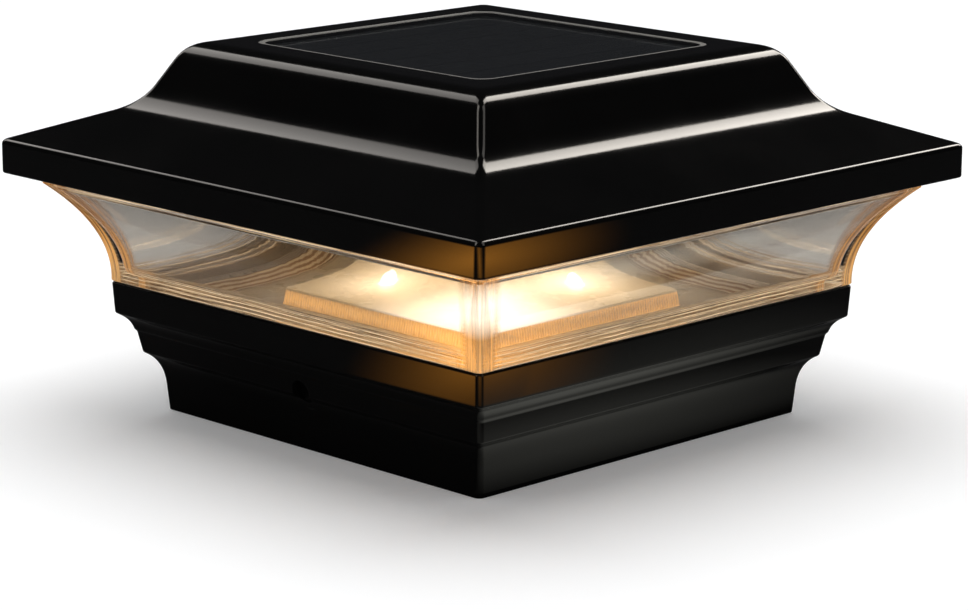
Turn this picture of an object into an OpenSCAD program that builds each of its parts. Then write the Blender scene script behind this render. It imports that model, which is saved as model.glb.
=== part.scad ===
// Solar cap light for a square deck post.
// Millimetres, +Z up. The origin is the middle of the foot's bottom edge plane.
// Every width called _half is measured from the middle axis to a flat side.

/* [Post socket and base] */
// Side of the square post sleeve that the cap slips over
post_w = 127; // [100:1:160]
// Gap between the sleeve and the locating ribs, each side
socket_gap = 1.5; // [0.5:0.1:3]
// How far the locating ribs stand in from the wall
rib_depth = 3; // [1:0.5:6]
// Thickness of the base casting's walls
base_wall = 3; // [2:0.5:5]
// Depth of the socket, from the foot to the underside of the deck
socket_depth = 31.5; // [26:0.5:40]
// Thickness of the deck that rests on the post
deck_t = 3; // [2:0.5:5]
// Height of the rim above the deck's top face
rim_rise = 7.3; // [6:0.1:12]
// How far the rim stands out past the foot, each side
rim_overhang = 12.5; // [10:0.5:20]
// Width of the rim's top face
rim_t = 3.8; // [3:0.1:5]
// Height of the plain plinth at the foot
plinth_h = 9; // [6:0.5:11]

/* [Lens] */
// Height of the clear band between the base and the eave
glass_h = 35; // [28:0.5:45]
// Wall thickness of the lens
glass_t = 4; // [3:0.1:5]
// Height of the upright collar at the foot of the lens
collar_h = 1.6; // [1:0.1:5]
// Thickness of the lens's foot and of its top flange
flange_t = 3; // [2:0.1:4]

/* [Roof] */
// How far the eave stands out past the rim, each side
eave_overhang = 24; // [20:0.5:34]
// Height of the eave's upright face
eave_h = 10.5; // [9:0.5:14]
// Height of the roof above the eave's top edge
roof_rise = 31.4; // [26:0.2:40]
// Thickness of the roof casting's walls
roof_wall = 3; // [2:0.1:4]
// Corner radius of the eave in plan
eave_corner_r = 2.5; // [1:0.5:5]

/* [Solar panel] */
// Side of the square window in the roof
panel_w = 102.5; // [80:0.5:120]
// Number of cell strips
cell_count = 6; // [3:1:10]
// Gap between cell strips
cell_gap = 0.6; // [0.3:0.1:1.5]

/* [Tray] */
// Side of the raised square in the middle of the tray
platform_w = 87.4; // [60:0.1:110]
// Height of the raised square above the tray's floor
platform_h = 5.5; // [2:0.5:6]
// Thickness of the tray's sheet
sheet_t = 0.8; // [0.5:0.1:1]

/* [Electronics] */
// Wall thickness of the housing
housing_wall = 2; // [1.5:0.1:2.5]
// Distance from the middle to each light-emitting diode, along X and along Y
led_offset = 17; // [12:0.5:22]
// Diameter of the battery cell
cell_d = 18.4; // [14:0.1:22.4]
// Length of the battery cell
cell_l = 65; // [50:0.5:80]
// Room beside the battery cell in its bay
bay_room = 2.1; // [1:0.1:6]
// Travel of the switch button
switch_travel = 4; // [2:0.5:4]

/* [Fasteners] */
// Radius of the post screw holes in the base
post_hole_r = 2.1; // [1.6:0.1:3]
// Radius of the eave screws' and tray screws' shanks
screw_r = 1.5; // [1:0.1:1.6]
// Radius of the small screws' shanks
small_screw_r = 1.1; // [0.8:0.1:1.2]

/* [Hidden] */
$fn = 48;

// A hair that cuts run past the face they open through
cut = 0.5;
// Room round a screw's shank in the hole it passes or bites in
shank_gap = 0.1;
// Room between pieces that drop into each other
fit_gap = 0.4;
// Room between the lens's collar and the rim below it
seam_gap = 0.3;

// Heights, from the foot up
deck_top = socket_depth + deck_t;
rim_z = deck_top + rim_rise;
eave_z = rim_z + glass_h;
eave_top = eave_z + eave_h;
roof_top = eave_top + roof_rise;

// Half-widths, from the post out
socket_half = post_w / 2 + socket_gap;
plinth_in = socket_half + rib_depth;
foot_half = plinth_in + base_wall;
rim_half = foot_half + rim_overhang;
rim_in = rim_half - rim_t;
eave_half = rim_half + eave_overhang;
eave_in = eave_half - roof_wall;

// Seat of the lens in the base
gasket_t = 1.5;
lens_z = deck_top + gasket_t;
foot_top = lens_z + flange_t;
spigot_half = rim_in - fit_gap;
spigot_in = spigot_half - glass_t;
foot_in = spigot_in - 3.8;
collar_z = rim_z + seam_gap;

// Top of the lens in the roof
flange_z = eave_z + 2.7;
flange_top = flange_z + flange_t - 0.2;
upper_gasket_t = 1.2;
ledge_z = flange_top + upper_gasket_t;
flange_half = eave_in - 1.7;
flange_corner_r = 5;
throat_half = flange_half - 4.4;
throat_in = throat_half - glass_t;
ledge_half = throat_in - 0.6;
eave_screw_at = flange_half - 1.7;
eave_hole_depth = 4.2;
pan_head_r = 2.7;
pan_head_h = 2;
small_head_r = 1.9;
small_head_h = 1.5;
// How far a screw's tip stays short of the end of its hole
tip_gap = 0.7;

// Solar panel, from its ledge up
panel_half = panel_w / 2;
pocket_wall = 2.5;
ledge_t = 2.5;
panel_z = roof_top - 3.3;
bedding_t = 0.5;
board_t = 1.2;
cell_t = 0.3;
cover_t = 1;
panel_corner_r = 6;
window_half = panel_half - 4;
window_corner_r = 3;
cell_margin = 3;

// Housing, from its lid down: it hangs from bosses under the roof
lid_t = 2;
seal_t = 1;
wiring_room = 10.6;
lid_top = roof_top - 13.7;
lid_z = lid_top - lid_t;
housing_top = lid_z - seal_t;
housing_flange_t = 2.5;
control_z = lid_z - wiring_room;
floor_z = control_z - cell_d;
housing_z = floor_z - housing_wall;

// Light-emitting diodes and their board
window_pane_half = led_offset + 4.8;
window_lip = 1;
led_board_t = 1.6;
led_h = 2.4;
led_board_z = floor_z + 4.4;
led_board_x = window_pane_half + 7.2;
led_board_y = window_pane_half + 1.2;
led_post_x = led_board_x - 2.5;
led_post_y = led_board_y - 3;
led_post_r = 2;

// Battery bay
bay_in = led_board_y + 2.5;
bay_wall = 1.6;
cell_x = 1;
plus_end = cell_x + cell_l / 2;
minus_end = cell_x - cell_l / 2;
plate_t = 0.5;
spring_l = 4.2;
coil_r = 0.4;
contact_w = 12;
contact_rise = 3;
bay_plus = plus_end + plate_t + 0.4;
bay_minus = minus_end - spring_l - 0.1;
bay_h = cell_d - 0.4;
door_t = 1.6;
door_post_r = 3;
door_screw_x = door_post_r + bay_wall + 1.6 - bay_minus;
door_x = door_screw_x + 4;

// Housing in plan: wide enough for the cell's bay and for the door
housing_in = max(bay_in + cell_d + bay_room, door_x);
housing_half = housing_in + housing_wall;
cell_y = (bay_in + housing_in) / 2;
cell_z = floor_z + cell_d / 2 + 0.8;
saddle_x = 20;
door_y = (housing_in - bay_in) / 2 + 2;
boss_r = 4.5;
boss_hole_depth = 6.7;
boss_at = max(housing_half + 8, panel_half + pocket_wall + 2);
lid_half = boss_at + 5.5;

// Roof outline: the two corners that its curves round off
deck_half = boss_at + 9.7;
cove_half = deck_half + 10.5;
cove_z = roof_top - 19.4;
cove_round = 7;
shoulder_round = 6;

// Switch
switch_y = -housing_in + 11;
switch_w = 13;
switch_d = 7;
switch_h = 6;
switch_wall = 1;
knob_w = 3.2;
slider_plate_w = 6;
slot_gap = 0.3;

// Control board
control_t = 1.6;
control_x = 34;
control_y0 = -housing_in + 3;
control_y1 = bay_in - bay_wall - 3;
lid_post_r = 3;
grommet_y = 5;
grommet_r = 4.5;
wire_r = 0.7;
wire_hole_r = 0.9;
wire_apart = 1.6;

// ---------- shared shapes ----------

// Points of a curve that leaves a toward b and arrives at c from b
function curve(a, b, c, n = 8) = [for (i = [0:n]) let (t = i / n)
    a * (1 - t) * (1 - t) + b * 2 * t * (1 - t) + c * t * t];

// The point that lies d along the way from a to b
function along(a, b, d) = a + (b - a) * d / norm(b - a);

// A solid whose plan is a square at every height: outline lists [half-width, height], bottom first
module four_sided(outline) {
    left = [for (i = [len(outline) - 1:-1:0]) [-outline[i][0], outline[i][1]]];
    span = 2 * max([for (p = outline) p[0]]) + 10;
    intersection() {
        rotate([90, 0, 0])
            linear_extrude(span, center = true) polygon(concat(outline, left));
        rotate([90, 0, 90])
            linear_extrude(span, center = true) polygon(concat(outline, left));
    }
}

// A square plate, half wide each way, from height z up
module plate(half, z, t) {
    translate([-half, -half, z]) cube([2 * half, 2 * half, t]);
}

// A square plate with round corners
module round_plate(half, r, z, t) {
    translate([0, 0, z]) linear_extrude(t) {
        square([2 * half, 2 * (half - r)], center = true);
        square([2 * (half - r), 2 * half], center = true);
        for (x = [-1, 1], y = [-1, 1])
            translate([x * (half - r), y * (half - r)]) circle(r);
    }
}

// A square frame between two half-widths
module square_ring(outer, inner, z, t) {
    difference() {
        plate(outer, z, t);
        plate(inner, z - cut, t + 2 * cut);
    }
}

// A rod along Z
module rod(x, y, z, r, h) {
    translate([x, y, z]) cylinder(r = r, h = h);
}

// Repeats its child at the four corners of a rectangle
module corners(x, y) {
    for (i = [-1, 1], j = [-1, 1]) translate([i * x, j * y, 0]) children();
}

// Repeats its child in the middle of the four sides
module sides(at) {
    for (a = [0:90:270]) rotate(a) translate([at, 0, 0]) children();
}

// Pan-head screw: z is the underside of the head, up is 1 when the shank points up
module screw(z, r, length, head_r, head_h, up) {
    flip = up > 0 ? 0 : 180;
    translate([0, 0, z]) rotate([flip, 0, 0]) difference() {
        union() {
            cylinder(r = r, h = length);
            translate([0, 0, -head_h]) cylinder(r = head_r, h = head_h);
        }
        for (a = [0, 90])
            rotate(a) translate([-head_r * 0.55, -head_r * 0.13, -head_h - cut])
                cube([head_r * 1.1, head_r * 0.26, head_h * 0.5 + cut]);
    }
}

// Points along a smooth line through the chosen points
function smooth_line(p, n = 4) = [for (i = [0:len(p) - 2], k = [0:n - 1])
    let (a = p[max(i - 1, 0)], b = p[i], c = p[i + 1], d = p[min(i + 2, len(p) - 1)], t = k / n)
    0.5 * (2 * b + (c - a) * t + (2 * a - 5 * b + 4 * c - d) * t * t
        + (3 * b - a - 3 * c + d) * t * t * t), p[len(p) - 1]];

// A lead's line: its two ends leave straight, and it is smooth between them
function lead_line(p) = concat(
    [p[0]], smooth_line([for (i = [1:len(p) - 2]) p[i]]), [p[len(p) - 1]]);

function unit(v) = v / norm(v);

// Direction of a line of points at point i
function heading(p, i) = unit(p[min(i + 1, len(p) - 1)] - p[max(i - 1, 0)]);

// A round wire swept along points; side is a direction that no stretch runs along
module wire(p, r, side, n = 8) {
    rings = [for (i = [0:len(p) - 1]) let (f = heading(p, i), u = unit(cross(f, side)), v = cross(f, u))
        for (k = [0:n - 1]) p[i] + r * (cos(360 * k / n) * u + sin(360 * k / n) * v)];
    walls = [for (i = [0:len(p) - 2], k = [0:n - 1])
        [i * n + k, (i + 1) * n + k, (i + 1) * n + (k + 1) % n, i * n + (k + 1) % n]];
    first = [for (k = [0:n - 1]) k];
    last = [for (k = [n - 1:-1:0]) (len(p) - 1) * n + k];
    polyhedron(rings, concat(walls, [first, last]));
}

// ---------- base ----------

// Outline of the base moulding, from the foot up
plinth_top = [foot_half + 0.7, plinth_h];
band_low = [foot_half + 5.9, socket_depth - 12.3];
band_high = [foot_half + 7.1, socket_depth - 5.8];
fascia_low = [rim_half - 0.5, socket_depth + 0.7];
base_outline = concat(
    [[foot_half, 0]],
    curve(plinth_top, plinth_top + [0.7, 0.73 * (band_low[1] - plinth_h)], band_low - [0.3, 0.4]),
    [band_low, band_high, band_high + [0.5, 0.6]],
    curve(band_high + [0.7, 1], band_high + [1.5, 4.2], fascia_low - [0.5, 0.7]),
    curve(fascia_low - [0.4, 0.6], fascia_low - [0, 0.6], fascia_low + [0, 0.5], 3),
    curve([rim_half, rim_z - 0.6], [rim_half, rim_z], [rim_half - 0.6, rim_z], 3));

// How far the deck's underside stands back round the post's seat
seat_rise = 0.5;
// Outline of the hollow below the deck
socket_outline = [
    [plinth_in, -cut], [plinth_in + 0.3, plinth_h + 4],
    [band_low[0] - base_wall - 0.6, band_low[1] + 1.5],
    [band_high[0] - base_wall - 0.4, band_high[1] + 1.8],
    [fascia_low[0] - base_wall - 1.8, socket_depth - 0.6],
    [fascia_low[0] - base_wall - 2.3, socket_depth + seat_rise]];

// Raised land under the deck that the post's top meets
seat_half = socket_half - 0.3;
rib_t = 3;
rib_at = post_w / 3;
post_hole_z = band_low[1] + 0.8;
post_recess_r = 3.75;
// Half-width at which a post screw's head seats
post_seat = foot_half + 1.8;
post_boss_r = 6;
tray_screw_at = foot_in - 11.5;
tray_pad_r = 4.5;
tray_floor_z = foot_top - 3.3;
platform_half = platform_w / 2;

module base_casting() color([0.03, 0.03, 0.032]) difference() {
    union() {
        difference() {
            four_sided(base_outline);
            four_sided(socket_outline);
            plate(rim_in, deck_top, rim_z);
        }
        plate(seat_half, socket_depth, deck_t / 2);
        // locating ribs
        for (a = [0:90:270], s = [-1, 1])
            rotate(a) translate([socket_half, s * rib_at - rib_t / 2, 0])
                cube([rib_depth + 1, rib_t, plinth_h + 5]);
        // bosses behind the post screw holes
        for (s = [-1, 1]) intersection() {
            four_sided(base_outline);
            translate([0, s * socket_half, post_hole_z]) rotate([-90 * s, 0, 0])
                cylinder(r = post_boss_r, h = band_low[0] - base_wall - socket_half + 1);
        }
        // pads under the tray's screws
        corners(tray_screw_at, tray_screw_at)
            rod(0, 0, deck_top - cut, tray_pad_r, tray_floor_z - deck_top - sheet_t + cut);
    }
    for (s = [-1, 1]) translate([0, 0, post_hole_z]) rotate([-90 * s, 0, 0]) {
        cylinder(r = post_hole_r, h = rim_half);
        translate([0, 0, post_seat]) cylinder(r = post_recess_r, h = rim_half);
    }
    corners(tray_screw_at, tray_screw_at)
        rod(0, 0, socket_depth - cut, screw_r + shank_gap, rim_z);
}

module lower_gasket() color([0.08, 0.08, 0.08])
    square_ring(spigot_half - 0.2, foot_in + 0.5, deck_top, gasket_t);

// ---------- lens ----------

// Share of the glass's height at which the flare turns outward
flare_turn = 0.52;
// How far below the eave the flare becomes the upright throat
throat_drop = 3.2;
flare_low = rim_z + collar_h;
flare_aim = rim_z + flare_turn * glass_h;
flare_high = eave_z - throat_drop;
flare = curve([rim_half, flare_low], [rim_half, flare_aim], [throat_half, flare_high], 12);

// Shelf inside the lens, where its thick foot thins to the wall of the flare: the shelf's
// height, and the round hollows at its inner and its outer edge
shelf_z = collar_z + 2.5;
shelf_edge = 1.2;
shelf_hollow = 3.7;
shelf_out = rim_half - glass_t;

lens_outline = concat(
    [[foot_in, lens_z], [spigot_half, lens_z], [spigot_half, collar_z], [rim_half, collar_z]],
    flare, [[throat_half, flange_top]]);

lens_hollow = concat(
    [[foot_in, lens_z - cut], [foot_in, foot_top], [spigot_in, foot_top]],
    curve([spigot_in, shelf_z - shelf_edge], [spigot_in, shelf_z], [spigot_in + shelf_edge, shelf_z], 3),
    curve([shelf_out - shelf_hollow / 2, shelf_z + 0.2], [shelf_out, shelf_z + 0.6],
        [shelf_out + 0.3, shelf_z + shelf_hollow], 5),
    [for (p = flare) if (p[1] > shelf_z + shelf_hollow + 0.2) p - [glass_t, 0]],
    [[throat_in, flange_top + cut]]);

module lens() color([0.85, 0.87, 0.86, 0.45]) difference() {
    union() {
        four_sided(lens_outline);
        round_plate(flange_half, flange_corner_r, flange_z, flange_top - flange_z);
    }
    four_sided(lens_hollow);
    // slots in the flange for the eave screws
    sides(eave_screw_at) {
        rod(0, 0, flange_z - cut, screw_r + 0.3, flange_t + 2 * cut);
        translate([0, -screw_r - 0.3, flange_z - cut])
            cube([flange_half, 2 * screw_r + 0.6, flange_t + 2 * cut]);
    }
}

// ---------- tray ----------

tray_half = foot_in - 1;
tray_flange_half = spigot_in - fit_gap;

module reflector_tray() color([0.82, 0.80, 0.76]) difference() {
    union() {
        // floor
        square_ring(tray_half, platform_half, tray_floor_z - sheet_t, sheet_t);
        // upright edge and the flange on the lens's foot
        square_ring(tray_half, tray_half - sheet_t, tray_floor_z - sheet_t,
            foot_top + 2 * sheet_t - tray_floor_z);
        square_ring(tray_flange_half, tray_half - sheet_t, foot_top, sheet_t);
        // raised square
        difference() {
            four_sided([[platform_half + 0.6, tray_floor_z - sheet_t], [platform_half + 0.5, tray_floor_z],
                [platform_half - 0.4, tray_floor_z + platform_h]]);
            four_sided([[platform_half - 0.2, tray_floor_z - sheet_t - cut],
                [platform_half - 1.2, tray_floor_z + platform_h - sheet_t]]);
        }
    }
    corners(tray_screw_at, tray_screw_at)
        rod(0, 0, tray_floor_z - sheet_t - cut, screw_r + shank_gap, sheet_t + 2 * cut);
}

module tray_screws() color([0.75, 0.75, 0.77])
    corners(tray_screw_at, tray_screw_at)
        screw(tray_floor_z, screw_r, tray_floor_z - socket_depth - tip_gap, pan_head_r, pan_head_h, -1);

module eave_screws() color([0.75, 0.75, 0.77])
    sides(eave_screw_at)
        screw(flange_z, screw_r, ledge_z - flange_z + eave_hole_depth - tip_gap, pan_head_r, pan_head_h, 1);

// ---------- roof ----------

eave_edge = [eave_half, eave_top];
cove_corner = [cove_half, cove_z];
shoulder_corner = [deck_half, roof_top];
roof_outline = concat(
    curve([eave_half - 0.8, eave_z], [eave_half, eave_z], [eave_half, eave_z + 0.8], 3),
    curve([eave_half, eave_top - 1.4], eave_edge, along(eave_edge, cove_corner, 1.4), 4),
    curve(along(cove_corner, eave_edge, cove_round), cove_corner,
        along(cove_corner, shoulder_corner, cove_round), 10),
    curve(along(shoulder_corner, cove_corner, shoulder_round), shoulder_corner,
        shoulder_corner - [shoulder_round, 0], 8));

roof_slope = (cove_z - eave_top) / (eave_half - cove_half);
roof_hollow = [
    [ledge_half, ledge_z - cut],
    [ledge_half, eave_top + (eave_half - ledge_half) * roof_slope - roof_wall - 0.5],
    cove_corner - [roof_wall * 0.75 - 3, roof_wall * 1.3],
    cove_corner - [roof_wall * 1.5, -1],
    shoulder_corner - [roof_wall * 0.9 - 1.4, roof_wall + 5],
    shoulder_corner - [roof_wall * 0.9, roof_wall]];

module roof_casting() color([0.03, 0.03, 0.032]) difference() {
    union() {
        difference() {
            intersection() {
                four_sided(roof_outline);
                round_plate(eave_half, eave_corner_r, eave_z - cut, roof_top);
            }
            four_sided(roof_hollow);
            plate(eave_in, eave_z - cut, ledge_z - eave_z + cut);
        }
        // pocket that holds the solar panel
        plate(panel_half + pocket_wall, panel_z - ledge_t, roof_top - roof_wall / 2 - panel_z + ledge_t);
        // bosses that the housing is screwed to
        corners(boss_at, boss_at) rod(0, 0, lid_top, boss_r, roof_top - roof_wall / 2 - lid_top);
    }
    round_plate(panel_half, panel_corner_r, panel_z, roof_top);
    round_plate(window_half, window_corner_r, panel_z - ledge_t - cut, roof_top);
    corners(boss_at, boss_at) rod(0, 0, lid_top - cut, screw_r + shank_gap, boss_hole_depth + cut);
    sides(eave_screw_at) rod(0, 0, ledge_z - cut, screw_r + shank_gap, eave_hole_depth + cut);
}

module upper_gasket() color([0.08, 0.08, 0.08]) difference() {
    round_plate(flange_half - 0.4, flange_corner_r, flange_top, upper_gasket_t);
    plate(throat_in + 0.4, flange_top - cut, 3);
    sides(eave_screw_at) {
        rod(0, 0, flange_top - cut, screw_r + 0.3, 3);
        translate([0, -screw_r - 0.3, flange_top - cut]) cube([flange_half, 2 * screw_r + 0.6, 3]);
    }
}

// ---------- solar panel ----------

laminate_half = panel_half - fit_gap;
panel_board_z = panel_z + bedding_t;
cell_base_z = panel_board_z + board_t;
cover_z = cell_base_z + cell_t;
cell_half = laminate_half - cell_margin;
cell_w = (2 * cell_half - (cell_count - 1) * cell_gap) / cell_count;

module panel_gasket() color([0.1, 0.1, 0.1]) difference() {
    round_plate(laminate_half - 1, panel_corner_r - 1, panel_z, bedding_t);
    round_plate(window_half + 0.3, window_corner_r, panel_z - cut, bedding_t + 2 * cut);
}

module panel_board() color([0.1, 0.11, 0.13])
    round_plate(laminate_half, panel_corner_r, panel_board_z, board_t);

module solar_cells() color([0.03, 0.035, 0.06])
    for (i = [0:cell_count - 1])
        translate([-cell_half + i * (cell_w + cell_gap), -cell_half, cell_base_z])
            cube([cell_w, 2 * cell_half, cell_t]);

module panel_cover() color([0.5, 0.5, 0.52, 0.4])
    round_plate(laminate_half, panel_corner_r, cover_z, cover_t);

module panel_terminals() color([0.72, 0.45, 0.2])
    for (s = [-1, 1]) translate([s * 4 - 1.5, grommet_y - 1.5, panel_board_z - 0.4]) cube([3, 3, 0.4]);

// ---------- housing ----------

module housing() color([0.8, 0.8, 0.78]) difference() {
    union() {
        square_ring(housing_half, housing_in, housing_z, housing_top - housing_z);
        plate(housing_half, housing_z, housing_wall);
        square_ring(lid_half, housing_half - 0.5, housing_top - housing_flange_t, housing_flange_t);
        // posts for the diodes' board
        corners(led_post_x, led_post_y) rod(0, 0, floor_z - cut, led_post_r, led_board_z - floor_z + cut);
        // walls of the battery bay
        translate([-housing_half + 1, bay_in - bay_wall, floor_z - cut])
            cube([2 * housing_half - 2, bay_wall, bay_h + cut]);
        translate([bay_plus, bay_in - cut, floor_z - cut])
            cube([bay_wall, housing_half - bay_in, bay_h + cut]);
        translate([bay_minus - bay_wall, bay_in - cut, floor_z - cut])
            cube([bay_wall, housing_half - bay_in, bay_h + cut]);
        // posts for the door's screws
        for (s = [-1, 1]) rod(s * door_screw_x, cell_y, floor_z - cut, door_post_r, 6);
    }
    // opening for the diodes' window
    plate(window_pane_half, housing_z - cut, housing_wall + 2 * cut);
    // slot for the switch's button
    translate([-(knob_w + switch_travel) / 2 - fit_gap, switch_y - knob_w / 2 - slot_gap, housing_z - cut])
        cube([knob_w + switch_travel + 2 * fit_gap, knob_w + 2 * slot_gap, housing_wall + 2 * cut]);
    // mouth of the battery bay
    translate([bay_minus, bay_in + 0.4, housing_z - cut])
        cube([bay_plus - bay_minus, housing_in - bay_in - 0.8, housing_wall + 2 * cut]);
    corners(led_post_x, led_post_y) rod(0, 0, floor_z, small_screw_r + shank_gap, led_board_z);
    for (s = [-1, 1]) rod(s * door_screw_x, cell_y, housing_z - cut, small_screw_r + shank_gap, 6.5);
    corners(boss_at, boss_at)
        rod(0, 0, housing_top - housing_flange_t - cut, screw_r + shank_gap, housing_flange_t + 2 * cut);
}

// Repeats its child at the control board's four screws
module board_corners() {
    for (x = [-1, 1], y = [control_y0 + 4, control_y1 - 4]) translate([x * (control_x - 4), y, 0]) children();
}

module housing_seal() color([0.1, 0.1, 0.1]) difference() {
    square_ring(lid_half - 1, housing_half - 1, housing_top, seal_t);
    corners(boss_at, boss_at) rod(0, 0, housing_top - cut, screw_r + 0.5, seal_t + 2 * cut);
}

module housing_lid() color([0.8, 0.8, 0.78]) difference() {
    union() {
        plate(lid_half, lid_z, lid_t);
        // posts that carry the control board
        board_corners() rod(0, 0, control_z + control_t, lid_post_r, lid_z - control_z - control_t + 1);
    }
    board_corners() rod(0, 0, control_z, small_screw_r + shank_gap, 8);
    rod(0, grommet_y, lid_z - cut, grommet_r, lid_t + 2 * cut);
    corners(boss_at, boss_at) rod(0, 0, lid_z - cut, screw_r + shank_gap, lid_t + 2 * cut);
}

module housing_screws() color([0.75, 0.75, 0.77])
    corners(boss_at, boss_at)
        screw(housing_top - housing_flange_t, screw_r,
            lid_top - housing_top + housing_flange_t + boss_hole_depth - tip_gap, pan_head_r, pan_head_h, 1);

module lid_grommet() color([0.06, 0.06, 0.06]) difference() {
    union() {
        rod(0, grommet_y, lid_z, grommet_r, lid_t);
        rod(0, grommet_y, lid_top, grommet_r + 1.5, 1);
    }
    for (s = [-1, 1]) rod(s * wire_apart, grommet_y, lid_z - cut, wire_hole_r, lid_t + 1 + 2 * cut);
}

// ---------- boards ----------

module control_board() color([0.05, 0.3, 0.15]) difference() {
    translate([-control_x, control_y0, control_z]) cube([2 * control_x, control_y1 - control_y0, control_t]);
    board_corners() rod(0, 0, control_z - cut, small_screw_r + shank_gap, control_t + 2 * cut);
}

// Chip, coil and capacitor under the control board
module board_parts() color([0.12, 0.12, 0.12]) {
    translate([-18, -26, control_z - 1.8]) cube([8, 8, 1.8]);
    rod(8, -22, control_z - 5, 4, 5);
    rod(20, -22, control_z - 7, 3.2, 7);
    translate([-20, -12, control_z - 1.2]) cube([5, 3, 1.2]);
}

module board_screws() color([0.75, 0.75, 0.77])
    board_corners() screw(control_z, small_screw_r, 5.6, small_head_r, small_head_h, 1);

module led_board() color([0.88, 0.88, 0.86]) difference() {
    translate([-led_board_x, -led_board_y, led_board_z])
        cube([2 * led_board_x, 2 * led_board_y, led_board_t]);
    corners(led_post_x, led_post_y)
        rod(0, 0, led_board_z - cut, small_screw_r + shank_gap, led_board_t + 2 * cut);
}

module leds() color([1, 0.85, 0.5]) corners(led_offset, led_offset) {
    translate([-2.5, -2.5, led_board_z - 1]) cube([5, 5, 1]);
    rod(0, 0, led_board_z - led_h, 1.9, led_h - 0.5);
}

module led_board_screws() color([0.75, 0.75, 0.77])
    corners(led_post_x, led_post_y)
        screw(led_board_z + led_board_t, small_screw_r, 5, small_head_r, small_head_h, -1);

module led_window() color([0.9, 0.9, 0.88, 0.5]) {
    plate(window_pane_half - 0.2, housing_z, housing_wall);
    plate(window_pane_half + window_lip, floor_z, 1);
}

// ---------- switch ----------

module switch_body() color([0.7, 0.7, 0.72]) difference() {
    translate([-switch_w / 2, switch_y - switch_d / 2, floor_z]) cube([switch_w, switch_d, switch_h]);
    translate([-switch_w / 2 + switch_wall, switch_y - switch_d / 2 + switch_wall, floor_z - cut])
        cube([switch_w - 2 * switch_wall, switch_d - 2 * switch_wall, 3.2 + cut]);
}

module switch_slider() color([0.08, 0.08, 0.08]) translate([-switch_travel / 2, switch_y, 0]) {
    translate([-slider_plate_w / 2, -knob_w / 2 - 0.7, floor_z + 0.3])
        cube([slider_plate_w, knob_w + 1.4, 2.5]);
    translate([-knob_w / 2, -knob_w / 2, housing_z - 1.4]) cube([knob_w, knob_w, housing_wall + 2]);
}

// ---------- battery ----------

module battery_cell() color([0.15, 0.35, 0.55]) {
    translate([minus_end, cell_y, cell_z]) rotate([0, 90, 0]) cylinder(r = cell_d / 2, h = cell_l - 1.5);
    translate([minus_end + cell_l - 2, cell_y, cell_z]) rotate([0, 90, 0]) cylinder(r = 3, h = 2);
}

module contact_plate() color([0.75, 0.72, 0.6])
    translate([bay_plus - plate_t, cell_y - contact_w / 2, floor_z + contact_rise])
        cube([plate_t, contact_w, bay_h - 2]);

module contact_spring() color([0.75, 0.72, 0.6]) {
    translate([bay_minus, cell_y - contact_w / 2, floor_z + contact_rise])
        cube([plate_t, contact_w, bay_h - 2]);
    turns = 3;
    coil = [for (i = [0:turns * 12]) let (s = i / (turns * 12), r = 5 - 2.4 * s)
        [bay_minus + plate_t + coil_r + 0.05 + s * (spring_l - plate_t - 2 * coil_r - 0.1),
            cell_y + r * cos(i * 30), cell_z + r * sin(i * 30)]];
    wire(coil, coil_r, [1, 0, 0], 6);
}

module battery_door() color([0.8, 0.8, 0.78]) difference() {
    union() {
        translate([-door_x, cell_y - door_y, housing_z - door_t]) cube([2 * door_x, 2 * door_y, door_t]);
        // saddles that carry the cell
        for (x = [-saddle_x, saddle_x]) difference() {
            translate([x - 1.5, cell_y - cell_d / 2 + 1.2, housing_z - cut]) cube([3, cell_d - 2.4, 5.5]);
            translate([x - 3, cell_y, cell_z]) rotate([0, 90, 0]) cylinder(r = cell_d / 2 + 0.3, h = 6);
        }
    }
    for (s = [-1, 1])
        rod(s * door_screw_x, cell_y, housing_z - door_t - cut, small_screw_r + shank_gap, door_t + 2 * cut);
}

module door_screws() color([0.75, 0.75, 0.77])
    for (s = [-1, 1]) translate([s * door_screw_x, cell_y, 0])
        screw(housing_z - door_t, small_screw_r, 6.4, small_head_r, small_head_h, 1);

// ---------- leads ----------

// From the panel's pads, through the grommet, to the control board
module panel_leads() color([0.6, 0.05, 0.05])
    for (s = [-1, 1]) wire(lead_line([
        [s * 4, grommet_y, panel_board_z - 0.4], [s * 4, grommet_y, panel_board_z - 2],
        [s * 2.6, grommet_y, lid_top + 4], [s * wire_apart, grommet_y, lid_top + 1.4],
        [s * wire_apart, grommet_y, lid_z - 1], [s * 3, grommet_y, lid_z - 6],
        [s * 3, grommet_y, control_z + control_t]]), wire_r, [0, 1, 0]);

// From the contacts' tops, over the bay's wall, to the control board
bay_top = floor_z + bay_h;
contact_top = bay_top + contact_rise - 2;
module battery_leads() color([0.6, 0.05, 0.05])
    for (end = [[bay_plus - plate_t / 2, 21], [bay_minus + plate_t / 2, -21]]) wire(lead_line([
        [end[0], cell_y, contact_top], [end[0], cell_y, contact_top + 1.2],
        [end[0] * 0.96, bay_in + 1, bay_top + 4.4], [end[1] * 1.2, control_y1 + 2, bay_top + 4.8],
        [end[1], control_y1 - 5, control_z + control_t + 2.4],
        [end[1], control_y1 - 5, control_z + control_t]]), wire_r, [1, 0, 0]);

// From the control board down to the diodes' board
module led_leads() color([0.6, 0.05, 0.05])
    for (s = [-1, 1]) wire(lead_line([
        [s * 3, -8, control_z], [s * 3, -8, control_z - 2.4], [s * 3.4, -9.5, control_z - 6],
        [s * 3, -11, led_board_z + led_board_t + 2.4], [s * 3, -11, led_board_z + led_board_t]]),
        wire_r, [0, 1, 0]);

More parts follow.
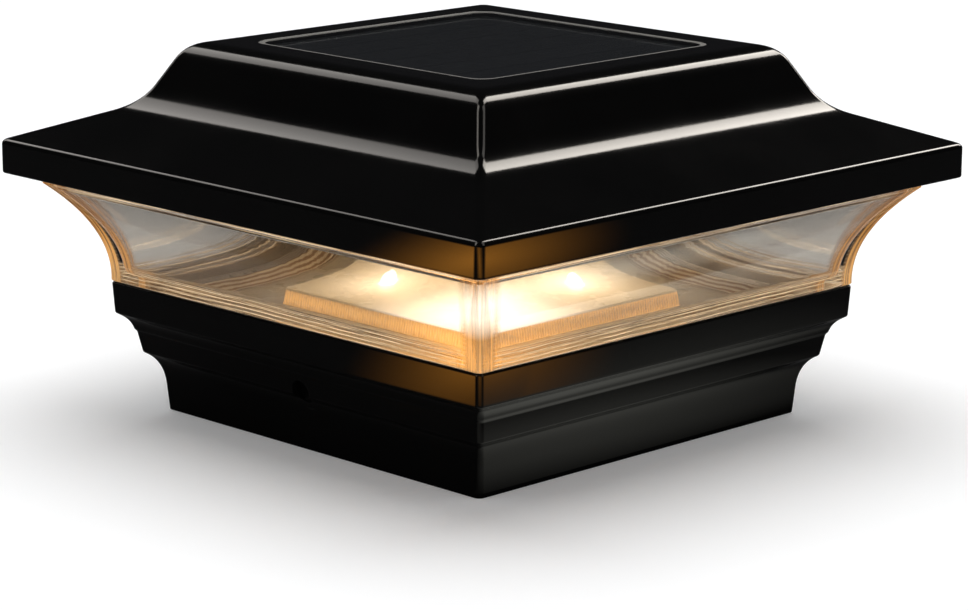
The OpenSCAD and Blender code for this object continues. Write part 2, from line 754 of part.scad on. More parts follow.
// From the switch up to the control board
module switch_leads() color([0.6, 0.05, 0.05])
    for (s = [-1, 1]) wire(lead_line([
        [s * 3, switch_y, floor_z + switch_h], [s * 3, switch_y, floor_z + switch_h + 2],
        [s * 3.6, switch_y + 0.8, control_z - 6], [s * 3, switch_y, control_z - 2],
        [s * 3, switch_y, control_z]]), wire_r, [0, 1, 0]);

base_casting();
lower_gasket();
lens();
reflector_tray();
tray_screws();
eave_screws();
roof_casting();
upper_gasket();
panel_gasket();
panel_board();
solar_cells();
panel_cover();
panel_terminals();
housing();
housing_seal();
housing_lid();
housing_screws();
lid_grommet();
control_board();
board_parts();
board_screws();
led_board();
leds();
led_board_screws();
led_window();
switch_body();
switch_slider();
battery_cell();
contact_plate();
contact_spring();
battery_door();
door_screws();
panel_leads();
battery_leads();
led_leads();
switch_leads();
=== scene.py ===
import math

import bmesh
import bpy
from mathutils import Matrix, Vector


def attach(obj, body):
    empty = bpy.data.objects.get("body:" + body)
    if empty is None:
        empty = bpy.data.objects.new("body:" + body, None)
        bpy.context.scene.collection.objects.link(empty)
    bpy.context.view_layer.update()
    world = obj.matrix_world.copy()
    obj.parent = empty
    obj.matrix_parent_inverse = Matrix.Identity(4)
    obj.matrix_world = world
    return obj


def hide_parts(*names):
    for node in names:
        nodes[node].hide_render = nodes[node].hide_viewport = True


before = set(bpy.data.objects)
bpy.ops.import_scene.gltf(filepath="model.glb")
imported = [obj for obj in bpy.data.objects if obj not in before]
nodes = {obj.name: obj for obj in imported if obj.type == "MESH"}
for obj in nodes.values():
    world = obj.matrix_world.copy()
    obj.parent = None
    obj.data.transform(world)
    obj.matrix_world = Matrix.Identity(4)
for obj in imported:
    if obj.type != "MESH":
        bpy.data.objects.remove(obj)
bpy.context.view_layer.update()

scene = bpy.context.scene

MM = 0.001
LIFT = Vector((0, 0, 1))


# ---------- shader maths ----------

class Value:
    """A node's output, so that shader maths reads as plain sums and products."""

    def __init__(self, finish, output):
        self.finish = finish
        self.output = output

    def maths(self, operation, *pair):
        return self.finish.node("Math", {"operation": operation}, pair)

    def __add__(self, other):
        return self.maths("ADD", self, other)

    def __radd__(self, other):
        return self.maths("ADD", other, self)

    def __sub__(self, other):
        return self.maths("SUBTRACT", self, other)

    def __rsub__(self, other):
        return self.maths("SUBTRACT", other, self)

    def __mul__(self, other):
        return self.maths("MULTIPLY", self, other)

    def __rmul__(self, other):
        return self.maths("MULTIPLY", other, self)

    def __truediv__(self, other):
        return self.maths("DIVIDE", self, other)

    def __rtruediv__(self, other):
        return self.maths("DIVIDE", other, self)

    def __pow__(self, other):
        return self.maths("POWER", self, other)

    def over(self, level):
        return self.maths("GREATER_THAN", self, level)

    def under(self, level):
        return self.maths("LESS_THAN", self, level)

    def either(self, other):
        """The larger of the two."""
        return self.maths("MAXIMUM", self, other)

    def least(self, other):
        """The smaller of the two."""
        return self.maths("MINIMUM", self, other)

    def wave(self):
        return self.maths("SINE", self)

    def size(self):
        """The distance from zero."""
        return self.maths("ABSOLUTE", self)


def distance(off_x, off_y):
    """How far a point lies from another, from its two offsets."""
    return (off_x * off_x + off_y * off_y) ** 0.5


class Finish:
    """A node tree with one method that adds any node, and short names for the usual ones."""

    def __init__(self, owner):
        self.owner = owner
        owner.use_nodes = True
        self.tree = owner.node_tree
        self.tree.nodes.clear()

    def node(self, kind, settings=None, sockets=(), output=0):
        """Adds a node, fills or links its inputs and returns one of its outputs."""
        made = self.tree.nodes.new("ShaderNode" + kind)
        for name, setting in (settings or {}).items():
            setattr(made, name, setting)
        named = sockets.items() if isinstance(sockets, dict) else enumerate(sockets)
        for name, value in named:
            socket = made.inputs[name]
            if isinstance(value, Value):
                self.tree.links.new(value.output, socket)
            else:
                socket.default_value = value
        return Value(self, made.outputs[output]) if made.outputs else None

    def place(self):
        """The piece's own coordinates, in metres."""
        return self.node("TexCoord", output="Object")

    def along(self):
        """The three coordinates apart."""
        cut = self.node("SeparateXYZ", None, [self.place()])
        return [Value(self, cut.output.node.outputs[name]) for name in "XYZ"]

    def speckle(self, scale, detail=3.0, roughness=0.55, distortion=0.0, stretch=None, where=None):
        """Cloudy noise, about 0 to 1, with scale features to the metre."""
        where = where or self.place()
        if stretch:
            where = self.node("Mapping", None, {"Vector": where, "Scale": stretch})
        return self.node("TexNoise", None, {
            "Vector": where, "Scale": scale, "Detail": detail, "Roughness": roughness,
            "Distortion": distortion})

    def ramp(self, value, low, high, start=0.0, end=1.0):
        """value turned from low..high to start..end, and held there."""
        return self.node("MapRange", {"clamp": True}, {
            "Value": value, "From Min": low, "From Max": high, "To Min": start, "To Max": end})

    def blend(self, share, first, second):
        """Two colours in one."""
        fill = {0: share}
        for at, colour in ((6, first), (7, second)):
            fill[at] = colour if isinstance(colour, Value) else (*colour, 1)
        return self.node("Mix", {"data_type": "RGBA", "clamp_factor": True}, fill, output=2)

    def relief(self, height, depth):
        """A bump of that depth in metres."""
        return self.node("Bump", None, {"Strength": 1.0, "Distance": depth, "Height": height},
                         output="Normal")

    def edges(self, radius):
        """1 on worn edges, 0 on open surface."""
        soft = self.node("Bevel", {"samples": 4}, {"Radius": radius})
        flat = self.node("NewGeometry", output="Normal")
        same = self.node("VectorMath", {"operation": "DOT_PRODUCT"}, [soft, flat], output="Value")
        return self.ramp(1 - same, 0.01, 0.12)

    def surface(self, **sockets):
        """The one shader of most finishes. Names follow the shader's own, with _ for a space."""
        names = {"specular": "Specular IOR Level", "transmission": "Transmission Weight",
                 "emission": "Emission Color", "glow": "Emission Strength", "colour": "Base Color",
                 "ior": "IOR"}
        fill = {}
        for name, value in sockets.items():
            key = names.get(name, name.replace("_", " ").title())
            if isinstance(value, tuple) and len(value) == 3:
                value = (*value, 1)
            fill[key] = value
        return self.node("BsdfPrincipled", None, fill)

    def show(self, shader):
        """Sends a shader to the material's output."""
        self.node("OutputMaterial", None, {"Surface": shader})
        return self.owner


def finish(name):
    return Finish(bpy.data.materials.new(name))


# ---------- finishes ----------

def black_paint():
    """Gloss black powder coat with a faint orange peel, and its edges a little lighter: rubbed wear and a
    painted edge sheen.
    """
    f = finish("black_paint")
    clouds = f.speckle(26, 4, 0.6)
    peel = f.speckle(420, 2, 0.5)
    dust = f.speckle(1900, 2, 0.7)
    # Lighter, rougher edges: partly rubbed wear, partly a painted edge sheen in the colour.
    rub = f.edges(0.0009) * f.ramp(f.speckle(160, 4, 0.65), 0.45, 0.75)
    body = f.blend(clouds, (0.0018, 0.0018, 0.0018), (0.0028, 0.0027, 0.0026))
    body = f.blend(rub * 0.3, body, (0.030, 0.029, 0.028))
    rough = f.ramp(clouds, 0.3, 0.7, 0.09, 0.13) + rub * 0.12 + f.ramp(dust, 0.62, 0.8) * 0.04
    return f.show(f.surface(colour=body, roughness=rough, specular=0.06,
                            normal=f.relief(peel + dust * 0.15, 0.000006)))


LENS_CAST = (0.58, 0.555, 0.52)
LENS_PASS = (0.86, 0.85, 0.83)
# Spacing of the painted lines of light, and where the lens wall's painted glow lies.
LINE_TURN = 2 * math.pi / 0.0013
SOLID_CORNER = (0.918, 0.938)
RIM_START, RIM_END = (0.0421, 0.0427), (0.0462, 0.0484)
THROAT_START = (0.0730, 0.0737)
FOOT_BOTTOM, FOOT_TOP, FOOT_OUTSIDE = 0.0361, 0.0422, 0.0788
# Where the painted white glare lies: at the front corner, between these heights.
FRONT_CORNER = (0.14, 0.16)
FRONT_GLOW_START, FRONT_GLOW_END = (0.0520, 0.059), (0.064, 0.073)


def clear_acrylic():
    """Clear lens with a slight grey cast; its foot is painted cream where the base hides it.

    The diodes' light in its wall is painted on as glow: the solid corners have a painted amber glow
    in upright streaks, painted white at the front corner, and the rim and the throat have painted
    lines of cream and brown light. Lamp light passes the clear part, so that what is inside is lit.
    Heights are in metres.
    """
    f = finish("clear_acrylic")
    x, y, z = f.along()
    flow = f.speckle(34, 3, 0.5, 0.6)
    haze = f.ramp(f.speckle(700, 3, 0.6), 0.55, 0.85)
    cast = f.blend(flow, LENS_CAST, tuple(0.97 * c for c in LENS_CAST))
    glass = f.surface(colour=cast, roughness=haze * 0.03, ior=1.49, transmission=1.0,
                      normal=f.relief(flow, 0.00002))
    reach = x.size().either(y.size())
    solid = f.ramp(x.size().least(y.size()) / reach, *SOLID_CORNER)
    spread = f.node("CombineXYZ", None, [x / reach, y / reach, z * 0.5])
    streaks = f.speckle(95, 2, 0.5, where=spread)
    lines = ((z * LINE_TURN + f.speckle(17, 2, 0.5) * 16.0).wave() * 0.6
             + (z * (LINE_TURN * 2.3) + f.speckle(40, 2, 0.5) * 12.0).wave() * 0.4)
    patches = f.ramp(f.speckle(75, 3, 0.6, 0.0, (1, 1, 2)), 0.35, 0.62, 0.35, 1.0)
    rim = f.ramp(z, *RIM_START) * (1 - f.ramp(z, *RIM_END))
    throat = f.ramp(z, *THROAT_START)
    # Painted light: an amber glow in upright streaks in the solid corners, brightest low down, and glowing
    # cream and brown lines at the rim and the throat.
    painted_corner_glow = (solid * f.ramp(streaks, 0.40, 0.60, 0.60, 0.90)
                   * f.ramp(z, 0.050, 0.064, 1.0, 0.62))
    painted_line_glow = (rim * patches * 0.85).either(throat * 0.85) * f.ramp(lines, -0.4, 0.6, 0.10, 1.0)
    amber = f.blend(f.ramp(streaks, 0.35, 0.65), (0.20, 0.072, 0.010), (0.80, 0.36, 0.085))
    low = 1 - f.ramp(z, 0.046, 0.062)
    amber = f.blend(solid * low * 0.25, amber, (1.0, 0.70, 0.36))
    # Painted glare: the wall's glow turns white at the front corner only.
    painted_front_glow = f.ramp(x - y, *FRONT_CORNER) * f.ramp(z, *FRONT_GLOW_START) * (1 - f.ramp(z, *FRONT_GLOW_END))
    warm = f.blend(f.ramp(lines, -0.1, 0.9), (0.34, 0.17, 0.06), (1.0, 0.78, 0.50))
    glow_tint = f.blend(solid, warm, amber)
    # The wall's painted glow: a dark amber body that gives off light in the same colours.
    painted_edge_light = f.surface(colour=f.blend(0.6, glow_tint, (0.0, 0.0, 0.0)), roughness=0.3,
                           specular=0.1, glow=1.5, emission=f.blend(
        painted_front_glow * solid * 0.85, f.blend(0.5, glow_tint, (0.0, 0.0, 0.0)), (1.0, 0.90, 0.74)))
    wall = f.node("MixShader", None, [painted_corner_glow.either(painted_line_glow), glass, painted_edge_light])
    passing = f.node("BsdfTransparent", None, {"Color": (*LENS_PASS, 1)})
    shadow = f.node("LightPath", output="Is Shadow Ray")
    clear = f.node("MixShader", None, [shadow, wall, passing])
    coat = f.surface(colour=f.blend(flow, (0.80, 0.70, 0.54), (0.88, 0.79, 0.64)),
                     roughness=0.45 + haze * 0.2, normal=f.relief(haze, 0.00003))
    outside = reach.over(FOOT_OUTSIDE).either(z.under(FOOT_BOTTOM))
    return f.show(f.node("MixShader", None, [z.under(FOOT_TOP) * outside, clear, coat]))


RIB_TURN = 2 * math.pi / 0.0011
# Where the painted pools of light lie round the domes.
PAINTED_POOL_AT = 0.0205
STEP_REACH = 0.046
STEP_START, STEP_END = (0.0358, 0.0364), (0.0404, 0.0409)
# Where the painted brown shade rings lie at the tray's border.
BORDER = (0.0665, 0.0685)
# Centre of the wider painted pool of light near the front corner.
PAINTED_FRONT_POOL_AT = 0.030


def cream_paint():
    """Glossy cream on the tray, with the light from above painted on as glow.

    The upright side of its raised square is finely ribbed and amber, with a painted amber glow. A
    painted pool of light lies round each of its four domes, with a wider one at the front corner;
    each dome has a painted hot spot, and the tray's border has painted brown shade in rings.
    """
    f = finish("cream_paint")
    x, y, z = f.along()
    reach = x.size().either(y.size())
    top = f.ramp(z, *STEP_END)
    step = f.ramp(z, *STEP_START) * (1 - top) * reach.under(STEP_REACH)
    ribs = ((x * RIB_TURN).wave() + (y * RIB_TURN).wave()) * 0.5
    grit = f.speckle(900, 3, 0.7)
    clouds = f.speckle(45, 4, 0.6)
    body = f.blend(clouds, (0.80, 0.74, 0.62), (0.86, 0.81, 0.70))
    amber = f.ramp(ribs * 0.5 + grit * 1.2, 0.1, 1.1)
    body = f.blend(step * amber * 0.85, body, (0.52, 0.28, 0.09))
    # Painted light: a pool round each dome, a wider pool at the front corner and a hot spot on each dome.
    away = distance(x.size() - PAINTED_POOL_AT, y.size() - PAINTED_POOL_AT)
    painted_light_pool = (1 - f.ramp(away, 0.003, 0.026)) ** 1.7 * top
    from_front = distance(x - PAINTED_FRONT_POOL_AT, y + PAINTED_FRONT_POOL_AT)
    painted_front_glow = (1 - f.ramp(from_front, 0.006, 0.046)) ** 1.5 * top
    painted_hot_spot = (1 - f.ramp(away, 0.0021, 0.0034)) * top
    # Painted shade: brown rings over the tray's border.
    border = f.ramp(reach, *BORDER)
    painted_shade_rings = ((reach + z) * LINE_TURN + f.speckle(60, 3, 0.5) * 9.0).wave()
    body = f.blend(border * f.ramp(painted_shade_rings, -0.5, 0.5, 0.0, 0.85), body, (0.30, 0.16, 0.07))
    # Painted glow: amber on the ribbed side, warm over the whole top, then the pools and the hot spots.
    glow = f.blend(step, (0.0, 0.0, 0.0), f.blend(amber, (0.13, 0.052, 0.012), (0.50, 0.27, 0.09)))
    glow = f.blend(top, glow, (0.125, 0.080, 0.034))
    glow = f.blend(painted_light_pool * 0.75, glow, (0.95, 0.74, 0.50))
    glow = f.blend(painted_front_glow * 0.8, glow, (1.0, 0.94, 0.84))
    glow = f.blend(painted_hot_spot, glow, (1.0, 0.97, 0.90))
    rough = f.ramp(clouds, 0.3, 0.7, 0.22, 0.34) + step * 0.15
    lumps = f.relief(step * (ribs + grit * 1.2) + grit * 0.03, 0.00035)
    return f.show(f.surface(colour=body, roughness=rough, specular=0.5, emission=glow, glow=3.0,
                            normal=lumps))


def rubber(name="black_rubber", dark=(0.018, 0.018, 0.018), dusty=(0.06, 0.058, 0.055)):
    """Matt moulded rubber with talc in its grain."""
    f = finish(name)
    grain = f.speckle(1500, 3, 0.7)
    talc = f.ramp(f.speckle(90, 4, 0.7), 0.5, 0.8)
    body = f.blend(talc * 0.4, dark, dusty)
    return f.show(f.surface(colour=body, roughness=f.ramp(grain, 0.3, 0.7, 0.68, 0.86), specular=0.3,
                            normal=f.relief(grain, 0.00004)))


def plated(name, colour, roughness):
    """Bright plating with fine turning marks and dull spots."""
    f = finish(name)
    marks = f.speckle(900, 2, 0.5, 0.0, (1, 1, 6))
    dull = f.ramp(f.speckle(210, 4, 0.7), 0.5, 0.8)
    rub = f.edges(0.0003)
    body = f.blend(dull * 0.45, colour, tuple(0.62 * c for c in colour))
    rough = roughness + marks * 0.14 + dull * 0.16 - rub * 0.05
    return f.show(f.surface(colour=body, metallic=1.0, roughness=rough,
                            normal=f.relief(marks, 0.00002)))


def moulded(name, colour, roughness, grain=1300, depth=0.00003, gloss=0.4):
    """Injection-moulded plastic with a spark-eroded grain, a little dirt and rubbed edges."""
    f = finish(name)
    texture = f.speckle(grain, 3, 0.65)
    clouds = f.ramp(f.speckle(38, 4, 0.65), 0.35, 0.7)
    rub = f.edges(0.0005)
    body = f.blend(clouds * 0.5, colour, tuple(0.84 * c for c in colour))
    body = f.blend(rub * 0.3, body, tuple(min(1.0, 1.25 * c + 0.02) for c in colour))
    rough = f.ramp(texture, 0.3, 0.7, roughness - 0.06, roughness + 0.06) - rub * 0.08
    return f.show(f.surface(colour=body, roughness=rough, specular=gloss,
                            normal=f.relief(texture, depth)))


FINGER_TURN, BUS_TURN = 2600.0, 387.0


def silicon():
    """Blue-black cells with hair-thin grid fingers, cut by broader bus lines."""
    f = finish("cell_silicon")
    x, y, _ = f.along()
    fingers = f.ramp((y * FINGER_TURN).wave(), 0.90, 0.99)
    bus = f.ramp((x * BUS_TURN).wave(), 0.985, 0.998)
    frost = f.speckle(300, 4, 0.7)
    body = f.blend(frost, (0.0040, 0.0042, 0.0048), (0.0062, 0.0064, 0.0072))
    body = f.blend(fingers.either(bus) * 0.25, body, (0.022, 0.022, 0.023))
    return f.show(f.surface(colour=body, roughness=f.ramp(frost, 0.3, 0.7, 0.30, 0.42), specular=0.2,
                            normal=f.relief(fingers.either(bus), 0.00002)))


def panel_glazing():
    """Clear resin over the solar panel, with gloss on its flat top and a little dust."""
    f = finish("panel_glazing")
    dust = f.ramp(f.speckle(1400, 3, 0.7), 0.6, 0.8)
    clouds = f.speckle(40, 3, 0.6)
    lumps = f.relief(clouds, 0.000004)
    rise = f.node("SeparateXYZ", None, [f.node("NewGeometry", output="Normal")], output="Z")
    clear = f.node("BsdfTransparent", None, {"Color": (0.80, 0.82, 0.84, 1)})
    gloss = f.node("BsdfGlossy", None, {
        "Color": (1, 1, 1, 1), "Roughness": 0.07 + dust * 0.1, "Normal": lumps})
    bounce = f.node("Fresnel", None, {"IOR": 1.40})
    return f.show(f.node("MixShader", None, [bounce * f.ramp(rise, 0.8, 0.95) * 0.6, clear, gloss]))


DIODE_AT = 0.017
PANE_GLOW = 11.0


def frosted(name):
    """Frosted pane lit by the four diodes behind it."""
    f = finish(name)
    x, y, _ = f.along()
    frost = f.speckle(2200, 3, 0.7)
    clouds = f.speckle(60, 3, 0.6)
    away = distance(x.size() - DIODE_AT, y.size() - DIODE_AT)
    near = (1 - f.ramp(away, 0.001, 0.016)) ** 2
    return f.show(f.surface(colour=f.blend(clouds, (0.93, 0.91, 0.86), (0.97, 0.95, 0.91)),
                            roughness=f.ramp(frost, 0.3, 0.7, 0.42, 0.55), specular=0.5,
                            emission=f.blend(near, (0.30, 0.20, 0.10), (1.0, 0.76, 0.44)),
                            glow=PANE_GLOW, normal=f.relief(frost, 0.00003)))


def circuit(name, resist, track):
    """Solder resist with the tracks showing under it."""
    f = finish(name)
    x, y, _ = f.along()
    across = f.ramp((x * 1900.0 + (y * 230.0).wave() * 2.0).wave(), 0.55, 0.75)
    down = f.ramp((y * 1500.0 + (x * 190.0).wave() * 2.0).wave(), 0.60, 0.80)
    tracks = across.either(down) * f.ramp(f.speckle(55, 2, 0.5), 0.46, 0.52)
    weave = f.speckle(1600, 2, 0.6)
    body = f.blend(tracks * 0.8, resist, track)
    body = f.blend(weave * 0.15, body, tuple(0.7 * c for c in resist))
    return f.show(f.surface(colour=body, roughness=f.ramp(weave, 0.3, 0.7, 0.30, 0.42), specular=0.5,
                            normal=f.relief(tracks + weave * 0.2, 0.00004)))


DIODE_DOME = (0.0764, 0.0788)


def lit_diode():
    """Phosphor dome of a lit diode, whitest at its crown, which faces down."""
    f = finish("lit_diode")
    _, _, z = f.along()
    grain = f.speckle(2500, 3, 0.6)
    crown = 1 - f.ramp(z, *DIODE_DOME)
    glow = f.blend(crown, (1.0, 0.55, 0.20), (1.0, 0.80, 0.52))
    return f.show(f.surface(colour=(0.95, 0.80, 0.45), roughness=f.ramp(grain, 0.3, 0.7, 0.22, 0.34),
                            emission=glow, glow=6.0, normal=f.relief(grain, 0.00002)))


CELL_MIDDLE = 0.001
CELL_END = (0.0318, 0.0324)


def shrink_wrap():
    """The cell's blue sleeve, with small creases and bare ends."""
    f = finish("shrink_wrap")
    x, _, _ = f.along()
    creases = f.speckle(120, 4, 0.6, 0.8, (0.3, 1, 1))
    ends = f.ramp((x - CELL_MIDDLE).size(), *CELL_END)
    body = f.blend(creases, (0.035, 0.13, 0.30), (0.06, 0.19, 0.38))
    body = f.blend(ends, body, (0.60, 0.60, 0.58))
    return f.show(f.surface(colour=body, metallic=ends * 0.8, roughness=0.24 + creases * 0.16,
                            specular=0.5, normal=f.relief(creases, 0.00012)))


def insulation():
    """Red sleeve of the leads, with a dull bloom and rubbed lines along it."""
    f = finish("lead_insulation")
    bloom = f.speckle(300, 4, 0.6)
    rub = f.speckle(90, 3, 0.6, 0.0, (1, 1, 5))
    body = f.blend(bloom * 0.7, (0.42, 0.03, 0.02), (0.28, 0.025, 0.02))
    return f.show(f.surface(colour=body, roughness=f.ramp(rub, 0.3, 0.7, 0.38, 0.52), specular=0.4,
                            normal=f.relief(bloom, 0.00003)))


paint = black_paint()
acrylic = clear_acrylic()
cream = cream_paint()
seal = rubber()
steel = plated("plated_steel", (0.74, 0.74, 0.73), 0.20)
nickel = plated("nickel_strip", (0.76, 0.73, 0.66), 0.26)
copper = plated("bare_copper", (0.82, 0.48, 0.30), 0.24)
housing_grey = moulded("housing_plastic", (0.74, 0.74, 0.71), 0.50)
switch_black = moulded("switch_plastic", (0.020, 0.020, 0.021), 0.42, 1800, 0.00002)
backing = moulded("panel_backing", (0.014, 0.015, 0.018), 0.46, 1500, 0.00002, 0.3)
chip = moulded("chip_resin", (0.022, 0.022, 0.024), 0.44, 2000, 0.00002, 0.3)

dressed = {
    "lower_gasket": seal, "upper_gasket": seal, "panel_gasket": seal, "housing_seal": seal,
    "lid_grommet": seal, "tray_screws": steel, "eave_screws": steel, "housing_screws": steel,
    "board_screws": steel, "led_board_screws": steel, "door_screws": steel, "switch_body": nickel,
    "contact_plate": nickel, "contact_spring": nickel, "panel_terminals": copper,
    "housing": housing_grey, "housing_lid": housing_grey, "battery_door": housing_grey,
    "switch_slider": switch_black, "panel_board": backing, "board_parts": chip,
    "solar_cells": silicon(), "led_window": frosted("frosted_pane"),
    "control_board": circuit("green_circuit", (0.010, 0.110, 0.040), (0.030, 0.210, 0.080)),
    "led_board": circuit("white_circuit", (0.80, 0.80, 0.77), (0.66, 0.62, 0.52)),
    "leds": lit_diode(), "battery_cell": shrink_wrap(),
}
sleeve = insulation()
for run in ("panel_leads", "battery_leads", "led_leads", "switch_leads"):
    dressed[run] = sleeve
for name, material in dressed.items():
    for material_slot in nodes[name].material_slots:
        material_slot.material = material


# ---------- shapes ----------

def bend(start, aim, end, steps):
    """Points of a curve that leaves start toward aim and arrives at end from aim."""
    start, aim, end = Vector(start), Vector(aim), Vector(end)
    return [tuple(start.lerp(aim, t).lerp(aim.lerp(end, t), t))
            for t in (step / steps for step in range(steps + 1))]


def cornered(points, first, last=None):
    """Gives each point of a section the plan's corner radius there, from first to last."""
    last = first if last is None else last
    count = max(len(points) - 1, 1)
    return [(half, z, first + (last - first) * at / count) for at, (half, z) in enumerate(points)]


class Moulding:
    """A shell whose plan is a square with round corners at every height, grown ring by ring."""

    def __init__(self, steps):
        self.mesh = bmesh.new()
        self.steps = steps
        self.ring = []
        self.first = []

    def start(self, half, z, radius, capped):
        """The first ring: a flat square plate with its corners rounded."""
        plate = bmesh.ops.create_grid(self.mesh, x_segments=1, y_segments=1, size=half * MM)["verts"]
        bmesh.ops.translate(self.mesh, verts=plate, vec=LIFT * z * MM)
        bmesh.ops.bevel(self.mesh, geom=plate, offset=radius * MM, offset_type="OFFSET",
                        affect="VERTICES", segments=self.steps, profile=0.5, material=-1)
        face = next(f for f in self.mesh.faces if len(f.verts) >= 4 * self.steps)
        self.ring = list(face.edges)
        self.first = list(self.ring)
        if not capped:
            bmesh.ops.delete(self.mesh, geom=[face], context="FACES_ONLY")
        self.station = (half, z, radius)

    def grow(self, half, z, radius):
        """Extrudes the open ring, then moves each of its corners to the next station."""
        grown = bmesh.ops.extrude_edge_only(self.mesh, edges=self.ring)["geom"]
        points = {v for v in grown if isinstance(v, bmesh.types.BMVert)}
        was_half, was_z, was_radius = self.station
        for x in (-1, 1):
            for y in (-1, 1):
                corner = [v for v in points if v.co.x * x > 0 and v.co.y * y > 0]
                side = Vector((x, y, 0))
                centre = (side * (was_half - was_radius) + LIFT * was_z) * MM
                goal = (side * (half - radius) + LIFT * z) * MM
                bmesh.ops.transform(
                    self.mesh, verts=corner,
                    matrix=Matrix.Translation(goal) @ Matrix.Scale(radius / was_radius, 4)
                    @ Matrix.Translation(-centre))
        self.ring = [e for e in grown if isinstance(e, bmesh.types.BMEdge)
                     and e.verts[0] in points and e.verts[1] in points]
        self.station = (half, z, radius)

    def follow(self, section, capped=True):
        """The whole section. Capped ones end in flat faces; others close on themselves."""
        self.start(*section[0], capped)
        for station in section[1:]:
            self.grow(*station)
        if capped:
            bmesh.ops.contextual_create(self.mesh, geom=self.ring)
        else:
            bmesh.ops.bridge_loops(self.mesh, edges=self.first + self.ring)
        bmesh.ops.recalc_face_normals(self.mesh, faces=self.mesh.faces)


def facing(x, y, z, along=LIFT):
    """A matrix that puts a shape at a place in millimetres, with its own up turned along."""
    return Matrix.Translation(Vector((x, y, z)) * MM) @ LIFT.rotation_difference(along).to_matrix().to_4x4()


def turned(outline, matrix, ring=False, steps=48):
    """A turned shape as a new bmesh. outline lists (radius, height) in millimetres."""
    shape = bmesh.new()
    points = [shape.verts.new((radius * MM, 0, height * MM)) for radius, height in outline]
    after = points[1:] + points[:1] if ring else points[1:]
    edges = [shape.edges.new(pair) for pair in zip(points, after)]
    bmesh.ops.spin(shape, geom=points + edges, cent=(0, 0, 0), axis=(0, 0, 1), angle=2 * math.pi,
                   steps=steps, use_merge=True)
    bmesh.ops.remove_doubles(shape, verts=shape.verts, dist=1e-7)
    bmesh.ops.recalc_face_normals(shape, faces=shape.faces)
    bmesh.ops.transform(shape, verts=shape.verts, matrix=matrix)
    return shape


def add(mesh, *shapes):
    """Puts whole shapes into a mesh and frees them."""
    for shape in shapes:
        data = bpy.data.meshes.new("shape")
        shape.to_mesh(data)
        shape.free()
        mesh.from_mesh(data)
        bpy.data.meshes.remove(data)


def sleeve_ring(bore, radius, length, matrix):
    """A short closed tube."""
    return turned([(bore, 0), (radius, 0), (radius, length), (bore, length)], matrix, ring=True)


def block(mesh, low, high):
    """A box between two corners in millimetres."""
    low, high = Vector(low), Vector(high)
    middle, size = (low + high) / 2 * MM, (high - low) * MM
    bmesh.ops.create_cube(mesh, size=1.0,
                          matrix=Matrix.Translation(middle) @ Matrix.Diagonal((*size, 1)))


def made(mesh, name, material, body, slot, *replaced, sharp=26):
    """Turns a bmesh into a finished piece that rides on its body."""
    bmesh.ops.remove_doubles(mesh, verts=mesh.verts, dist=2e-7)
    for edge in mesh.edges:
        edge.smooth = not (edge.is_manifold and edge.calc_face_angle() > math.radians(sharp))
    for face in mesh.faces:
        face.smooth = True
    data = bpy.data.meshes.new(name)
    mesh.to_mesh(data)
    mesh.free()
    data.materials.append(material)
    piece = bpy.data.objects.new(name, data)
    scene.collection.objects.link(piece)
    evening = piece.modifiers.new("even_faces", "WEIGHTED_NORMAL")
    evening.keep_sharp = True
    evening.weight = 50
    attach(piece, body)
    if replaced:
        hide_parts(*replaced)


def carve(mesh, cutter):
    """Cuts one bmesh out of another and returns the result as a new bmesh."""
    parts = []
    for name, shape in (("whole", mesh), ("cutter", cutter)):
        data = bpy.data.meshes.new(name)
        shape.to_mesh(data)
        shape.free()
        part = bpy.data.objects.new(name, data)
        scene.collection.objects.link(part)
        parts.append(part)
    whole, tool = parts
    cut = whole.modifiers.new("cut", "BOOLEAN")
    cut.object, cut.operation, cut.solver = tool, "DIFFERENCE", "EXACT"
    result = bmesh.new()
    result.from_object(whole, bpy.context.evaluated_depsgraph_get())
    for part in parts:
        data = part.data
        bpy.data.objects.remove(part)
        bpy.data.meshes.remove(data)
    return result


# ---------- roof ----------

EAVE_R, HIP_R, INNER_R = 2.5, 2.3, 0.4
PANEL_R, WINDOW_R = 6.0, 3.0
EAVE_HALF, EAVE_LOW, ROOF_TOP = 107.5, 76.8, 118.7
POCKET_HALF, POCKET_Z = 51.25, 115.4
WINDOW_HALF, WINDOW_LOW = 47.25, 112.9
LEDGE_Z, LEDGE_IN, LEDGE_OUT = 83.5, 93.8, 104.5
BOSS_AT = 56

roof_section = (
    cornered(bend((106.7, EAVE_LOW), (EAVE_HALF, EAVE_LOW), (EAVE_HALF, 77.6), 5), EAVE_R)
    + cornered(bend((EAVE_HALF, 85.9), (EAVE_HALF, 87.3), (106.19, 87.8), 7), EAVE_R, HIP_R)
    + cornered(bend((82.74, 96.79), (76.2, 99.3), (72.87, 105.46), 20), HIP_R)
    + cornered(bend((68.56, 113.42), (65.7, ROOF_TOP), (59.7, ROOF_TOP), 20), HIP_R)
    + cornered([(51.31, ROOF_TOP), (POCKET_HALF, 118.64), (POCKET_HALF, POCKET_Z)], PANEL_R)
    + cornered([(WINDOW_HALF, POCKET_Z), (WINDOW_HALF, WINDOW_LOW)], WINDOW_R)
    + cornered([(53.75, WINDOW_LOW), (53.75, 115.7), (63.0, 115.7), (64.4, 110.7), (71.7, 100.3),
                (76.95, 95.4), (LEDGE_IN, 89.05), (LEDGE_IN, LEDGE_Z), (LEDGE_OUT, LEDGE_Z),
                (LEDGE_OUT, EAVE_LOW)], INNER_R))
roof = Moulding(6)
roof.follow(roof_section, capped=False)
for x in (-BOSS_AT, BOSS_AT):
    for y in (-BOSS_AT, BOSS_AT):
        add(roof.mesh, sleeve_ring(1.6, 4.5, 11.2, facing(x, y, 105.0)))
made(roof.mesh, "roof_moulding", paint, "roof", "black_casting", "roof_casting")

